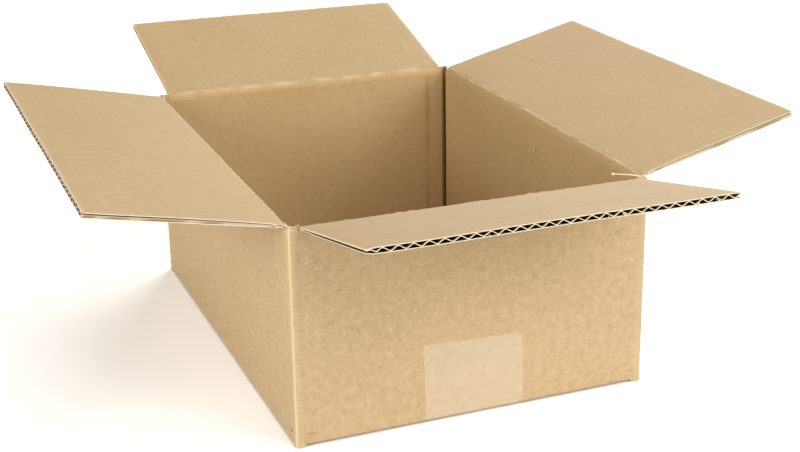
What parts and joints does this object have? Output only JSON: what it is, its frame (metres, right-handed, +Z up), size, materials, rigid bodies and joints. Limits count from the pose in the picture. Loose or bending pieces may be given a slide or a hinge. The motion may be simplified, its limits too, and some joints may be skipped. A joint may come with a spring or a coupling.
{
  "type": "corrugated cardboard box",
  "caption": "Small rectangular brown corrugated box standing open, with hinged top flaps, a taped flat bottom and a glued corner joint.",
  "frame": {"origin": "middle of the box's underside, on the outer face of the bottom tape that it stands on", "axes": "+Z up, +X to the right along the short end panels, +Y back along the long panels; the front end panel faces -Y"},
  "size_m": [0.3309, 0.3936, 0.124],
  "materials": {
    "kraft_board": "matte",
    "packing_tape": "satin"
  },
  "bodies": {
    "box": {"box_body": "kraft_board", "seam_tape": "packing_tape"},
    "front": {"front_flap": "kraft_board"},
    "back": {"back_flap": "kraft_board"},
    "left": {"left_flap": "kraft_board"},
    "right": {"right_flap": "kraft_board"}
  },
  "joints": [
    {"name": "front_flap_crease", "type": "hinge", "parent": "box", "child": "front", "pos_m": [0, -0.1157, 0.1001], "axis": [-1, 0, 0], "range_deg": [-27, 167.9]},
    {"name": "back_flap_crease", "type": "hinge", "parent": "box", "child": "back", "pos_m": [0, 0.1157, 0.1001], "axis": [1, 0, 0], "range_deg": [-30, 164.2]},
    {"name": "left_flap_crease", "type": "hinge", "parent": "box", "child": "left", "pos_m": [-0.0837, 0, 0.10155], "axis": [0, 1, 0], "range_deg": [-26, 168.3]},
    {"name": "right_flap_crease", "type": "hinge", "parent": "box", "child": "right", "pos_m": [0.0837, 0, 0.10155], "axis": [0, -1, 0], "range_deg": [-29, 165.7]}
  ]
}
